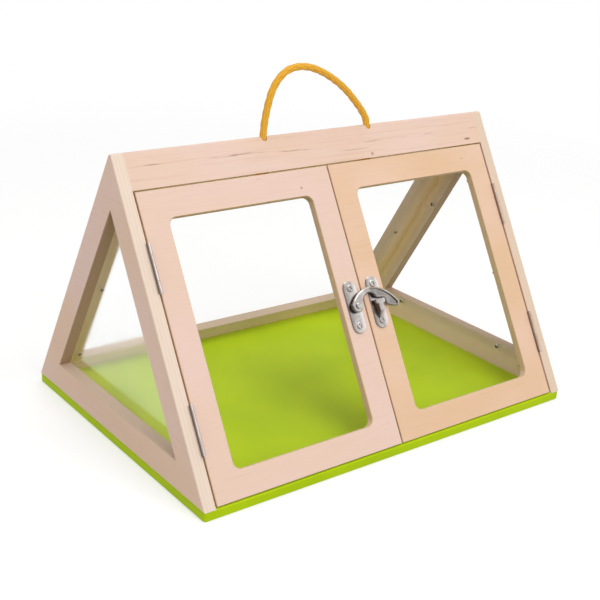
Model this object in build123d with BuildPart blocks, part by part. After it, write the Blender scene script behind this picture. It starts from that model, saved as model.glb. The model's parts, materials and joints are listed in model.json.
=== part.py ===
from build123d import *
import os
from math import atan2, cos, pi, radians, sin, tan

# A child's tabletop greenhouse: a tent-shaped house of birch plywood frames and clear acrylic panes
# on a painted base board, with two hinged front doors, a swing latch and a rope carrying handle.
# Lengths are in millimetres. The origin is the middle of the base's underside, +Z is up and the doors
# face -Y. Places on the sloping front are given as x, distance up the slope, and height off the face.

# Base board
base_length = 380.0
base_depth = 272.0
base_thickness = 8.0
base_corner_radius = 3.0
base_edge_bevel = 0.9

# House outline: the two slopes would meet in a sharp ridge, which is planed to a narrow flat
house_height = 232.0
ridge_flat = 3.0
ridge_round = 1.0
wood_edge = 0.5

# End frames, one triangular board each
end_thickness = 10.0
end_leg_width = 22.7
end_rail_height = 23.9

# Ridge beam, a solid triangular bar with two holes for the rope
beam_height = 24.5
rope_hole_spacing = 108.0
rope_hole_clearance = 0.25

# Doors and the fixed back frame
door_thickness = 6.5
door_bottom_gap = 1.3
door_top_gap = 1.1
door_hinge_gap = 1.6
door_centre_gap = 1.2
outer_stile_width = 21.7
inner_stile_width = 22.7
bottom_rail_width = 21.1
top_rail_width = 22.7
window_corner_radius = 6.5
back_thickness = 8.0

# Clear panes, fixed on the inner faces of the frames
pane_thickness = 2.0
pane_lap = 7.0
pane_corner_radius = 3.0
pane_seat_gap = 0.1

# Butt hinges, let into the gap between each end frame and its door
hinge_length = 38.5
hinge_lower_start = 38.5
hinge_upper_start = 159.5
hinge_knuckle_radius = 1.6
hinge_knuckle_count = 4
hinge_knuckle_gap = 0.3
hinge_axis_height = 1.45
hinge_pin_radius = 0.6
hinge_pin_clearance = 0.05
hinge_leaf_thickness = 0.7
hinge_leaf_top = 0.4
hinge_leaf_inset = 0.3

# Swing latch: plates
latch_rise = 117.6
plate_length = 44.0
plate_width = 13.2
plate_thickness = 1.2
plate_bevel = 0.4

# Swing latch: arm. Its outline leaves the hub, runs over the crest to the tip and comes back under the
# broad horn, round the notch that hooks over the catch; its points are shares of the reach and of the
# crest's height
pivot_offset = 1.0
hub_radius = 5.3
hub_start_angle = 165.0
hub_end_angle = 5.0
boss_radius = 4.4
arm_lift = 1.4
arm_thickness = 2.6
arm_corner_radius = 1.3
arm_edge_bevel = 0.8
arm_reach = 43.0
arm_crest = 13.3
arm_rim = 1.2
arm_scoop_depth = 1.3
arm_scoop_start_share = 0.44
arm_rest_share = 0.17
arm_arc_shares = (
    ((0.084, 0.737), (0.400, 1.000)),
    ((0.722, 0.605), (0.984, -0.240)),
    ((0.968, -0.445), (0.884, -0.498)),
    ((0.790, -0.420), (0.702, -0.286)),
    ((0.679, -0.080), (0.670, 0.156)),
    ((0.578, 0.214), (0.479, 0.301)),
    ((0.428, 0.549), (0.314, 0.639)),
)
arm_neck_share = (0.209, 0.496)
rivet_radius = 1.5
rivet_clearance = 0.05
rivet_head_radius = 2.6
rivet_head_height = 1.1
rivet_head_bevel = 0.7
rivet_head_gap = 0.1

# Swing latch: catch tongue, a strip punched and bent up out of its plate with a cross head under the arm
tongue_foot_drop = 12.6
tongue_width = 4.6
tongue_thickness = 1.8
tongue_height = 2.8
tongue_ramp_length = 6.5
tongue_rest_gap = 0.35
tongue_head_width = 9.2
tongue_head_length = 3.6
tongue_head_radius = 1.0
tongue_slot_gap = 0.4
tongue_slot_length = 13.0

# Rope handle, and the knots that hold it under the beam
rope_diameter = 6.0
rope_end_depth = 6.4
knot_radius = 6.4
knot_height = 11.0
knot_seat_gap = 0.3
knot_tail_length = 7.0
knot_profile_shares = ((0.62, 0.0), (1.0, 0.28), (1.0, 0.68), (0.6, 1.0))
rope_tangent_share = 0.45

# The rope's route in its upright plane: x, and height above the planed ridge
rope_route = (
    (-54.0, -6.4),
    (-54.0, 6.0),
    (-51.0, 23.5),
    (-45.6, 40.2),
    (-33.2, 52.4),
    (-14.5, 53.9),
    (4.5, 47.4),
    (25.0, 34.9),
    (38.8, 22.0),
    (49.6, 10.2),
    (54.0, 2.8),
    (54.0, -6.4),
)

# One overrun serves every cut
overrun = 1.0

# Worked out from the sizes above
half_length = base_length / 2
half_depth = base_depth / 2
inner_half = half_length - end_thickness
slope = atan2(house_height, half_depth)
ridge_top = base_thickness + house_height - ridge_flat / 2 * tan(slope)
beam_bottom = ridge_top - beam_height
beam_half_width = half_depth - (beam_bottom - base_thickness) / tan(slope)
beam_start = (beam_bottom - base_thickness) / sin(slope)
door_top = beam_start - door_top_gap
door_edge = inner_half - door_hinge_gap
door_meeting = door_centre_gap / 2
door_window_outer = door_edge - outer_stile_width
door_window_inner = door_meeting + inner_stile_width
plate_place = door_meeting + inner_stile_width / 2
pivot_place = pivot_offset - plate_place
rope_radius = rope_diameter / 2
arm_floor = plate_thickness + arm_lift

up_slope = Vector(0, cos(slope), sin(slope))
front = Plane((0, -half_depth, base_thickness), x_dir=(1, 0, 0), z_dir=(0, -sin(slope), cos(slope)))
back = Plane((0, half_depth, base_thickness), x_dir=(-1, 0, 0), z_dir=(0, sin(slope), cos(slope)))
off_face = Axis(front.origin, front.z_dir)
door_section = Plane(front.origin, x_dir=up_slope, z_dir=(1, 0, 0))


def write(builder, name):
    """Labels a finished piece and writes it under its own name."""
    builder.part.label = name
    export_step(builder.part, f"parts/{name}.step")


def gable_outline(inset, rise):
    """Corners of the triangle that lies inset from both slopes and starts at a rise above the base."""
    half_width = half_depth - inset / sin(slope) - rise / tan(slope)
    bottom = base_thickness + rise
    return [(-half_width, bottom), (half_width, bottom), (0, bottom + half_width * tan(slope))]


def roof_profile(half_width, bottom):
    """The section of a piece that ends in the ridge: a triangle with its planed and rounded top."""
    with BuildSketch() as profile:
        Polygon(
            (-half_width, bottom),
            (half_width, bottom),
            (ridge_flat / 2, ridge_top),
            (-ridge_flat / 2, ridge_top),
            align=None,
        )
        fillet(profile.vertices().group_by(Axis.Y)[-1], ridge_round)
    return profile.sketch


def make_base_board():
    """The painted board that everything stands on."""
    with BuildPart() as base_board:
        with BuildSketch():
            RectangleRounded(base_length, base_depth, base_corner_radius)
        extrude(amount=base_thickness)
        rims = base_board.edges().group_by(Axis.Z)
        chamfer(rims[0] + rims[-1], base_edge_bevel)
    write(base_board, "base_board")


def make_end_frame(name, side):
    """A triangular end board with its triangular window."""
    with BuildPart() as end_frame:
        with BuildSketch(Plane.YZ.offset(side * inner_half)):
            add(roof_profile(half_depth, base_thickness))
            Polygon(*gable_outline(end_leg_width, end_rail_height), align=None, mode=Mode.SUBTRACT)
        extrude(amount=side * end_thickness)
        outer_face = end_frame.faces().sort_by(Axis.X)[-1 if side > 0 else 0]
        chamfer(outer_face.edges(), wood_edge)
    write(end_frame, f"{name}_end_frame")


def make_end_pane(name, side):
    """The triangular pane on an end frame's inner face."""
    with BuildPart() as end_pane:
        with BuildSketch(Plane.YZ.offset(side * (inner_half - pane_seat_gap))):
            Polygon(*gable_outline(end_leg_width - pane_lap, end_rail_height - pane_lap), align=None)
        extrude(amount=-side * pane_thickness)
    write(end_pane, f"{name}_end_pane")


def make_ridge_beam():
    """The triangular bar between the end frames, drilled for the rope."""
    with BuildPart() as ridge_beam:
        with BuildSketch(Plane.YZ):
            add(roof_profile(beam_half_width, beam_bottom))
        extrude(amount=inner_half, both=True)
        with BuildSketch(Plane.XY.offset(beam_bottom)):
            with GridLocations(rope_hole_spacing, 0, 2, 1):
                Circle(rope_radius + rope_hole_clearance)
        extrude(amount=beam_height + overrun, mode=Mode.SUBTRACT)
    write(ridge_beam, "ridge_beam")


def make_back_frame():
    """The fixed back frame, cut level where it stands on the base and meets the beam."""
    inward = back_thickness / sin(slope)
    window_width = 2 * (inner_half - outer_stile_width)
    window_height = beam_start - bottom_rail_width - top_rail_width
    with BuildPart() as back_frame:
        with BuildSketch(Plane.YZ):
            Polygon(
                (half_depth, base_thickness),
                (beam_half_width, beam_bottom),
                (beam_half_width - inward, beam_bottom),
                (half_depth - inward, base_thickness),
                align=None,
            )
        extrude(amount=inner_half, both=True)
        with BuildSketch(back):
            with Locations((0, bottom_rail_width + window_height / 2)):
                RectangleRounded(window_width, window_height, window_corner_radius)
        extrude(amount=-back_thickness - overrun, mode=Mode.SUBTRACT)
        back_face = back_frame.faces().sort_by(Axis(back.origin, back.z_dir))[-1]
        chamfer(back_face.inner_wires()[0].edges(), wood_edge)
    write(back_frame, "back_frame")

    with BuildPart() as back_pane:
        with BuildSketch(back.offset(-back_thickness - pane_seat_gap)):
            with Locations((0, bottom_rail_width + window_height / 2)):
                RectangleRounded(window_width + 2 * pane_lap, window_height + 2 * pane_lap, pane_corner_radius)
        extrude(amount=-pane_thickness)
    write(back_pane, "back_pane")


def make_door(name, side):
    """One door frame with its pane: level at the foot, square at the head."""
    foot_setback = door_thickness / tan(slope)
    window_width = door_window_outer - door_window_inner
    window_bottom = door_bottom_gap + bottom_rail_width
    window_height = door_top - top_rail_width - window_bottom
    window_place = (side * (door_window_outer + door_window_inner) / 2, window_bottom + window_height / 2)
    with BuildPart() as door_frame:
        with BuildSketch(door_section.offset(side * door_meeting)):
            Polygon(
                (door_bottom_gap, 0),
                (door_top, 0),
                (door_top, -door_thickness),
                (door_bottom_gap + foot_setback, -door_thickness),
                align=None,
            )
        extrude(amount=side * (door_edge - door_meeting))
        with BuildSketch(front):
            with Locations(window_place):
                RectangleRounded(window_width, window_height, window_corner_radius)
        extrude(amount=-door_thickness - overrun, mode=Mode.SUBTRACT)
        chamfer(door_frame.faces().sort_by(off_face)[-1].edges(), wood_edge)
    write(door_frame, f"{name}_door_frame")

    with BuildPart() as door_pane:
        with BuildSketch(front.offset(-door_thickness - pane_seat_gap)):
            with Locations(window_place):
                RectangleRounded(window_width + 2 * pane_lap, window_height + 2 * pane_lap, pane_corner_radius)
        extrude(amount=-pane_thickness)
    write(door_pane, f"{name}_door_pane")


def hinge_plane(side, start):
    """Plane across a hinge pin at the hinge's lower end: x points to the door, z up the slope."""
    place = front.from_local_coords((side * (inner_half - door_hinge_gap / 2), start, hinge_axis_height))
    return Plane(place, x_dir=(-side, 0, 0), z_dir=up_slope)


def make_hinge_leaf(name, side, start, on_door):
    """One leaf of a butt hinge with its share of the knuckles; the frame's leaf carries the pin."""
    plane = hinge_plane(side, start)
    inward = -side
    leaf_side = 1 if on_door else -1
    leaf_x = leaf_side * (door_hinge_gap - hinge_leaf_thickness) / 2
    leaf_start = hinge_axis_height + hinge_leaf_top
    leaf_end = hinge_axis_height + door_thickness - hinge_leaf_inset
    pitch = hinge_length / hinge_knuckle_count
    with BuildPart() as leaf:
        with BuildSketch(plane):
            with Locations((leaf_x, inward * (leaf_start + leaf_end) / 2)):
                Rectangle(hinge_leaf_thickness, leaf_end - leaf_start)
        extrude(amount=hinge_length)
        for knuckle in range(1 if on_door else 0, hinge_knuckle_count, 2):
            with BuildSketch(plane.offset(knuckle * pitch + hinge_knuckle_gap / 2)):
                Circle(hinge_knuckle_radius)
                with Locations((leaf_x, inward * leaf_start / 2)):
                    Rectangle(hinge_leaf_thickness, leaf_start)
            extrude(amount=pitch - hinge_knuckle_gap)
        with BuildSketch(plane):
            Circle(hinge_pin_radius + (hinge_pin_clearance if on_door else 0))
        extrude(amount=hinge_length, mode=Mode.SUBTRACT if on_door else Mode.ADD)
    write(leaf, name)


def plate_outline():
    """A straight-sided plate with half-round ends, drawn about its middle."""
    with BuildSketch() as outline:
        SlotOverall(plate_length, plate_width, rotation=90)
    return outline.sketch


def make_latch_plate():
    """The left door's plate, with the raised boss and the rivet that carry the arm."""
    head_start = arm_floor + arm_thickness + rivet_head_gap
    with BuildPart() as latch_plate:
        with BuildSketch(front):
            with Locations((-plate_place, latch_rise)):
                add(plate_outline())
        extrude(amount=plate_thickness)
        chamfer(latch_plate.faces().sort_by(off_face)[-1].edges(), plate_bevel)
        with BuildSketch(front):
            with Locations((pivot_place, latch_rise)):
                Circle(boss_radius)
        extrude(amount=arm_floor - rivet_head_gap)
        with BuildSketch(front):
            with Locations((pivot_place, latch_rise)):
                Circle(rivet_radius)
        extrude(amount=head_start)
        with BuildSketch(front.offset(head_start)):
            with Locations((pivot_place, latch_rise)):
                Circle(rivet_head_radius)
        extrude(amount=rivet_head_height)
        chamfer(latch_plate.faces().sort_by(off_face)[-1].edges(), rivet_head_bevel)
    write(latch_plate, "latch_plate")


def on_hub(angle):
    """A point on the rim of the arm's hub."""
    return (hub_radius * cos(radians(angle)), hub_radius * sin(radians(angle)))


def on_arm(shares):
    """A point of the arm's outline."""
    return (shares[0] * arm_reach, shares[1] * arm_crest)


def arm_outline():
    """The arm's outline about its pivot, a chain of arcs."""
    last = on_hub(hub_start_angle)
    hub_low_angle = (hub_start_angle + hub_end_angle) / 2 - 180
    with BuildSketch() as outline:
        with BuildLine():
            for middle, end in arm_arc_shares:
                ThreePointArc(last, on_arm(middle), on_arm(end))
                last = on_arm(end)
            ThreePointArc(last, on_arm(arm_neck_share), on_hub(hub_end_angle))
            ThreePointArc(on_hub(hub_end_angle), on_hub(hub_low_angle), on_hub(hub_start_angle))
        make_face()
    return outline.sketch


def make_latch_arm():
    """The pressed arm: a hub on the rivet, and a scooped horn that reaches over the catch."""
    place = front.from_local_coords((pivot_place, latch_rise, arm_floor))
    plane = Plane(place, x_dir=front.x_dir, z_dir=front.z_dir)
    outline = arm_outline()
    with BuildPart() as latch_arm:
        with BuildSketch(plane) as body:
            add(outline)
            fillet(body.vertices(), arm_corner_radius)
        extrude(amount=arm_thickness)
        chamfer(latch_arm.faces().sort_by(off_face)[-1].edges(), arm_edge_bevel)
        with BuildSketch(plane.offset(arm_thickness)):
            offset(outline, amount=-arm_rim, mode=Mode.ADD)
            Circle(arm_scoop_start_share * arm_reach, mode=Mode.SUBTRACT)
        extrude(amount=-arm_scoop_depth, mode=Mode.SUBTRACT)
        with BuildSketch(plane):
            Circle(rivet_radius + rivet_clearance)
        extrude(amount=arm_thickness, mode=Mode.SUBTRACT)
    write(latch_arm, "latch_arm")


def make_catch_plate():
    """The right door's plate, with the bent tongue whose cross head stops under the arm."""
    place = front.from_local_coords((plate_place, latch_rise, plate_thickness))
    side_view = Plane(place, x_dir=up_slope, z_dir=(1, 0, 0))
    tip = arm_rest_share * arm_crest - tongue_rest_gap
    knee = tongue_ramp_length - tongue_foot_drop
    top = tongue_height + tongue_thickness
    with BuildPart() as catch_plate:
        with BuildSketch(front):
            with Locations((plate_place, latch_rise)):
                add(plate_outline())
        extrude(amount=plate_thickness)
        chamfer(catch_plate.faces().sort_by(off_face)[-1].edges(), plate_bevel)
        with BuildSketch(front):
            with Locations((plate_place, latch_rise - tongue_foot_drop + tongue_slot_length / 2)):
                Rectangle(tongue_width + 2 * tongue_slot_gap, tongue_slot_length)
        extrude(amount=plate_thickness, mode=Mode.SUBTRACT)
        with BuildSketch(side_view):
            Polygon(
                (-tongue_foot_drop, -plate_thickness / 2),
                (-tongue_foot_drop, 0),
                (knee, tongue_height),
                (tip, tongue_height),
                (tip, top),
                (knee - tongue_thickness, top),
                (-tongue_foot_drop - tongue_thickness, 0),
                (-tongue_foot_drop - tongue_thickness, -plate_thickness / 2),
                align=None,
            )
        extrude(amount=tongue_width / 2, both=True)
        with BuildSketch(front.offset(plate_thickness + tongue_height)):
            with Locations((plate_place, latch_rise + tip - tongue_head_length / 2)):
                RectangleRounded(tongue_head_width, tongue_head_length, tongue_head_radius)
        extrude(amount=tongue_thickness)
    write(catch_plate, "catch_plate")


def make_rope_handle():
    """The rope's free arch from one hole to the other, and a knotted end below each hole."""
    points = [Vector(x, 0, ridge_top + z) for x, z in rope_route]
    radii = []
    for before, corner, after in zip(points, points[1:], points[2:]):
        first = corner - before
        second = after - corner
        half_turn = radians(first.get_angle(second) / 2)
        radii.append(rope_tangent_share * min(first.length, second.length) / tan(half_turn))
    print("rope radii", [round(radius, 1) for radius in radii])
    with BuildPart() as rope_handle:
        with BuildLine() as route:
            FilletPolyline(*points, radius=radii)
        with BuildSketch(Plane(route.line @ 0, z_dir=route.line % 0)):
            Circle(rope_radius)
        sweep()
    length = sum(edge.length for edge in route.edges())
    print("rope length", round(length, 1), "volume", round(rope_handle.part.volume))
    print("section by length", round(pi * rope_radius**2 * length))
    write(rope_handle, "rope_handle")


def make_rope_knot(name, side):
    """The rope's end inside its hole, with the knot under the beam and a short tail."""
    middle = side * rope_hole_spacing / 2
    knot_top = beam_bottom - knot_seat_gap
    tail_end = knot_top - knot_height - knot_tail_length
    knot_rim = [(r * knot_radius, knot_top - drop * knot_height) for r, drop in knot_profile_shares]
    with BuildPart() as rope_knot:
        with BuildSketch(Plane.XZ):
            with Locations((middle, 0)):
                Polygon(
                    (0, ridge_top - rope_end_depth),
                    (rope_radius, ridge_top - rope_end_depth),
                    (rope_radius, knot_top),
                    *knot_rim,
                    (rope_radius, knot_top - knot_height),
                    (rope_radius, tail_end),
                    (0, tail_end),
                    align=None,
                )
        revolve(axis=Axis((middle, 0, 0), (0, 0, 1)))
    write(rope_knot, f"{name}_rope_knot")


os.makedirs("parts", exist_ok=True)
make_base_board()
for side_name, side_sign in (("left", -1), ("right", 1)):
    make_end_frame(side_name, side_sign)
    make_end_pane(side_name, side_sign)
    make_door(side_name, side_sign)
    make_rope_knot(side_name, side_sign)
    for level, hinge_start in (("upper", hinge_upper_start), ("lower", hinge_lower_start)):
        hinge_name = f"{side_name}_{level}_hinge"
        make_hinge_leaf(f"{hinge_name}_frame_leaf", side_sign, hinge_start, False)
        make_hinge_leaf(f"{hinge_name}_door_leaf", side_sign, hinge_start, True)
make_ridge_beam()
make_back_frame()
make_latch_plate()
make_latch_arm()
make_catch_plate()
make_rope_handle()
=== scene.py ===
"""Finishes, rope, screws and studio for a tabletop toy greenhouse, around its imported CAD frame."""

import json
import logging
import math
from dataclasses import dataclass
from enum import Enum
from typing import Sequence, Union

import bmesh
import bpy
from mathutils import Matrix, Vector


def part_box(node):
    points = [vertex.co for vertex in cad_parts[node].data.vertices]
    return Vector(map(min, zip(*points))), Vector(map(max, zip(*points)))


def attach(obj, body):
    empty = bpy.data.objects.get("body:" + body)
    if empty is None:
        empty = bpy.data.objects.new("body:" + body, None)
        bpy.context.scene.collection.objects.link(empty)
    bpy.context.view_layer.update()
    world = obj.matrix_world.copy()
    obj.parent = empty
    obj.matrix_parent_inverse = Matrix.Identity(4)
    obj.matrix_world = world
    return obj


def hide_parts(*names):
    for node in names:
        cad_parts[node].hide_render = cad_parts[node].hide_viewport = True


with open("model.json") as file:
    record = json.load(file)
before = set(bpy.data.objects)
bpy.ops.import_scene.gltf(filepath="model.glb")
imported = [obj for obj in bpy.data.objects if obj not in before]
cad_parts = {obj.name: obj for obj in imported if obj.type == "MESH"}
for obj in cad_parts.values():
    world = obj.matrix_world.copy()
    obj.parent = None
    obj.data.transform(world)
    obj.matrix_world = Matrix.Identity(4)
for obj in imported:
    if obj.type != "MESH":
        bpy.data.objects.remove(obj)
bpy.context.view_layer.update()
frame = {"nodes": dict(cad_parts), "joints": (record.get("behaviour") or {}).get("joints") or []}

LOG = logging.getLogger("greenhouse")
MM = 0.001
JOINTS = {joint["name"]: joint for joint in frame["joints"]}

SocketValue = Union[float, Sequence[float], bpy.types.NodeSocket]
Span = tuple[float, float]
Triple = tuple[float, float, float]

# A Map Range node takes a value, the span that it comes from and the span that it goes to, in that order
SMOOTH = {"interpolation_type": "SMOOTHSTEP"}
# A Mix node takes the second colour's share at input 0 and the two colours at inputs 6 and 7
COLOURS = {"data_type": "RGBA", "output": 2}
NOISE_ROUGHNESS = 0.55


def linear(code: str) -> tuple[float, float, float, float]:
    """Turns an sRGB colour into the linear one that shaders use.

    Args:
        code: Six hex digits.

    Returns:
        Linear red, green, blue and a full alpha.
    """
    shares = [int(code[place:place + 2], 16) / 255 for place in (0, 2, 4)]
    red, green, blue = (s / 12.92 if s <= 0.04045 else ((s + 0.055) / 1.055) ** 2.4 for s in shares)
    return (red, green, blue, 1.0)


def add_node(
    tree: bpy.types.NodeTree,
    kind: str,
    inputs: Union[Sequence[SocketValue], dict[Union[str, int], SocketValue]],
    output: Union[str, int] = 0,
    **settings: object,
) -> bpy.types.NodeSocket:
    """Adds one shader node.

    Args:
        tree: The node tree to add it to.
        kind: The node's type, without Blender's prefix.
        inputs: Values to set or sockets to link, in the inputs' order, or by their names or places.
        output: The name or place of the output that is wanted.
        **settings: Properties of the node.

    Returns:
        That output.
    """
    node = tree.nodes.new(f"ShaderNode{kind}")
    for name, value in settings.items():
        setattr(node, name, value)
    for key, value in inputs.items() if isinstance(inputs, dict) else enumerate(inputs):
        if isinstance(value, bpy.types.NodeSocket):
            tree.links.new(value, node.inputs[key])
        else:
            node.inputs[key].default_value = value
    return node.outputs[output]


def new_piece(name: str, mesh: bpy.types.Mesh, body: str) -> bpy.types.Object:
    """Makes a mesh a piece of the object, riding on one of its bodies.

    Args:
        name: The piece's name.
        mesh: Its mesh, already in place.
        body: The CAD body that it moves with.

    Returns:
        The new object.
    """
    piece = bpy.data.objects.new(name, mesh)
    bpy.context.scene.collection.objects.link(piece)
    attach(piece, body)
    LOG.info("built %s with %d faces on %s", name, len(mesh.polygons), body)
    return piece


@dataclass(frozen=True)
class Slope:
    """One sloping side of the house, with places given along it, up it and off its face."""

    foot: Vector
    along: Vector
    up: Vector

    @property
    def out(self) -> Vector:
        """The direction off the face."""
        return self.along.cross(self.up)

    @property
    def turn(self) -> Triple:
        """The Euler turn that carries x, y and z to along, up and out."""
        return tuple(self.matrix(Vector()).to_euler())

    def place(self, along: float, rise: float, off: float) -> Vector:
        """A point given along the slope, up it and off its face."""
        return self.foot + self.along * along + self.up * rise + self.out * off

    def matrix(self, place: Vector, inward: bool = False) -> Matrix:
        """The frame of a piece on the slope.

        Args:
            place: The frame's origin.
            inward: Whether the frame's z points into the house.

        Returns:
            A matrix with y up the slope and z off its face, or into the house.
        """
        side = -1 if inward else 1
        axes = Matrix((self.along * side, self.up, self.out * side)).transposed()
        return Matrix.Translation(place) @ axes.to_4x4()


BASE_LOW, BASE_HIGH = (Vector(corner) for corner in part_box("base_board"))
UP_FRONT = Vector(JOINTS["right_door_hinge"]["axis"])
FRONT_SLOPE = Slope(Vector((0, BASE_LOW.y, BASE_HIGH.z)), Vector((1, 0, 0)), UP_FRONT)
BACK_SLOPE = Slope(Vector((0, BASE_HIGH.y, BASE_HIGH.z)), Vector((-1, 0, 0)), UP_FRONT * Vector((1, -1, 1)))


class BoardLie(Enum):
    """How a board stands: where it starts and how its grain, width and plies are turned."""

    FRONT = (tuple(FRONT_SLOPE.foot), FRONT_SLOPE.turn)
    BACK = (tuple(BACK_SLOPE.foot), BACK_SLOPE.turn)
    END = ((0.0, 0.0, 0.0), (math.pi / 2, 0.0, math.pi / 2))


class Side(Enum):
    """The two ends of the house, by the sign of their x."""

    LEFT = -1
    RIGHT = 1

    @property
    def word(self) -> str:
        """The side's name as the CAD nodes use it."""
        return self.name.lower()


@dataclass(frozen=True)
class Finish:
    """A surface finish, named for what the real one is made of and how it was made."""

    name: str

    @property
    def casts_shadow(self) -> bool:
        """Whether the finish stops light, which a clear sheet does not."""
        return True

    def sockets(self) -> dict[str, SocketValue]:
        """The shader's settings that are the same all over the surface."""
        return {}

    def paint(self, tree: bpy.types.NodeTree, shader: bpy.types.Node) -> None:
        """Adds the finish's pattern.

        Args:
            tree: The material's node tree.
            shader: Its Principled BSDF.
        """

    def material(self) -> bpy.types.Material:
        """Makes the finish's material on first use.

        Returns:
            The material.
        """
        made = bpy.data.materials.get(self.name)
        if made is None:
            made = bpy.data.materials.new(self.name)
            made.use_nodes = True
            shader = made.node_tree.nodes["Principled BSDF"]
            for key, value in self.sockets().items():
                shader.inputs[key].default_value = value
            self.paint(made.node_tree, shader)
        return made

    def dress(self, *nodes: str) -> None:
        """Gives the finish to CAD nodes.

        Args:
            *nodes: The nodes' names.
        """
        for node in nodes:
            frame["nodes"][node].visible_shadow = self.casts_shadow
            for material_slot in frame["nodes"][node].material_slots:
                material_slot.material = self.material()
            LOG.info("dressed %s in %s", node, self.name)


def stretched_noise(
    tree: bpy.types.NodeTree, place: bpy.types.NodeSocket, sizes_mm: Triple, detail: float
) -> bpy.types.NodeSocket:
    """Adds noise whose features have a real size along each axis.

    Args:
        tree: The material's node tree.
        place: Coordinates in metres.
        sizes_mm: The features' sizes along x, y and z, in millimetres.
        detail: How many finer layers the noise has.

    Returns:
        The noise's value, about 0.5 on average.
    """
    rates = tuple(1 / (size * MM) for size in sizes_mm)
    spread = add_node(tree, "VectorMath", (place, rates), operation="MULTIPLY")
    inputs = {"Vector": spread, "Scale": 1.0, "Detail": detail, "Roughness": NOISE_ROUGHNESS}
    return add_node(tree, "TexNoise", inputs)


def tinted(
    tree: bpy.types.NodeTree,
    base: SocketValue,
    tint: str,
    value: bpy.types.NodeSocket,
    span: Sequence[float],
    depth: float = 1.0,
) -> bpy.types.NodeSocket:
    """Lays a tint over a colour, more and more as a value goes through a span.

    Args:
        tree: The material's node tree.
        base: The colour under it.
        tint: The tint's six hex digits.
        value: The value that brings it on.
        span: The value where the tint starts, and the one where it is full.
        depth: How much of the tint shows where it is full.

    Returns:
        The tinted colour.
    """
    share = add_node(tree, "MapRange", (value, *span, 0.0, depth), **SMOOTH)
    return add_node(tree, "Mix", {0: share, 6: base, 7: linear(tint)}, **COLOURS)


@dataclass(frozen=True)
class Mark:
    """A pin knot, dent or painted shadow in a wooden face, placed along and up the board."""

    along_mm: float
    rise_mm: float
    length_mm: float
    height_mm: float
    depth: float
    through_mm: float = 3.0
    fade: Span = (0.35, 0.6)

    def share(self, tree: bpy.types.NodeTree, board: bpy.types.NodeSocket) -> bpy.types.NodeSocket:
        """Adds the mark's spot.

        Args:
            tree: The material's node tree.
            board: Coordinates along, up and off the board, in metres.

        Returns:
            The mark's depth in its middle, and 0 away from it.
        """
        inputs = {
            "Vector": board,
            "Location": (self.along_mm * MM, self.rise_mm * MM, 0.0),
            "Scale": (self.length_mm * MM, self.height_mm * MM, self.through_mm * MM),
        }
        spot = add_node(tree, "Mapping", inputs, vector_type="TEXTURE")
        distance = add_node(tree, "VectorMath", (spot,), "Value", operation="LENGTH")
        return add_node(tree, "MapRange", (distance, *self.fade, self.depth, 0.0), **SMOOTH)


@dataclass(frozen=True)
class Wood(Finish):
    """What plywood and solid wood share: board coordinates, slow drift of hue, fine grain and marks."""

    lie: BoardLie = BoardLie.FRONT
    rosy: str = "F0D1C2"
    straw: str = "EECDB4"
    vein: str = "CFA083"
    # The colour of knots, dents and the seam, and of the painted shadow under the catch plate
    knot: str = "7A4E2C"
    drift_mm: float = 150.0
    drift_span: Span = (0.35, 0.65)
    grain_mm: Triple = (42.0, 1.3, 6.0)
    grain_span: Span = (0.48, 0.80)
    grain_depth: float = 0.20
    # Real pores are about 0.1 mm wide, and are drawn as coarse as they need to show
    pore_mm: Triple = (7.0, 0.5, 3.0)
    pore_span: Span = (0.64, 0.80)
    pore_depth: float = 0.14
    bump_mm: float = 0.03
    bump_strength: float = 0.5
    marks: tuple[Mark, ...] = ()

    def sockets(self) -> dict[str, SocketValue]:
        """Sanded wood with a thin matt oil: dull and barely shiny."""
        return {"Roughness": 0.62, "IOR": 1.45}

    def board(self, tree: bpy.types.NodeTree, output: str) -> bpy.types.NodeSocket:
        """Adds coordinates along, up and through the board.

        Args:
            tree: The material's node tree.
            output: The texture coordinate that is turned, Object or Normal.

        Returns:
            The turned coordinate.
        """
        start, turn = self.lie.value
        inputs = {"Vector": add_node(tree, "TexCoord", (), output), "Rotation": turn}
        if output == "Object":
            inputs["Location"] = start
        return add_node(tree, "Mapping", inputs, vector_type="TEXTURE")

    def face(
        self, tree: bpy.types.NodeTree, shader: bpy.types.Node, board: bpy.types.NodeSocket
    ) -> bpy.types.NodeSocket:
        """Adds the look of the board's broad face.

        Args:
            tree: The material's node tree.
            shader: Its Principled BSDF, which gets the grain's bump.
            board: Coordinates along, up and through the board.

        Returns:
            The face's colour.
        """
        drift = stretched_noise(tree, board, (self.drift_mm, self.drift_mm / 2, self.drift_mm), detail=2.0)
        hue = tinted(tree, linear(self.rosy), self.straw, drift, self.drift_span)
        grain = stretched_noise(tree, board, self.grain_mm, detail=4.0)
        veined = tinted(tree, hue, self.vein, grain, self.grain_span, self.grain_depth)
        pores = stretched_noise(tree, board, self.pore_mm, detail=1.0)
        colour = tinted(tree, veined, self.vein, pores, self.pore_span, self.pore_depth)
        for mark in self.marks:
            share = mark.share(tree, board)
            colour = add_node(tree, "Mix", {0: share, 6: colour, 7: linear(self.knot)}, **COLOURS)
        bump = {"Height": grain, "Distance": self.bump_mm * MM, "Strength": self.bump_strength}
        tree.links.new(add_node(tree, "Bump", bump), shader.inputs["Normal"])
        return colour


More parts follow.
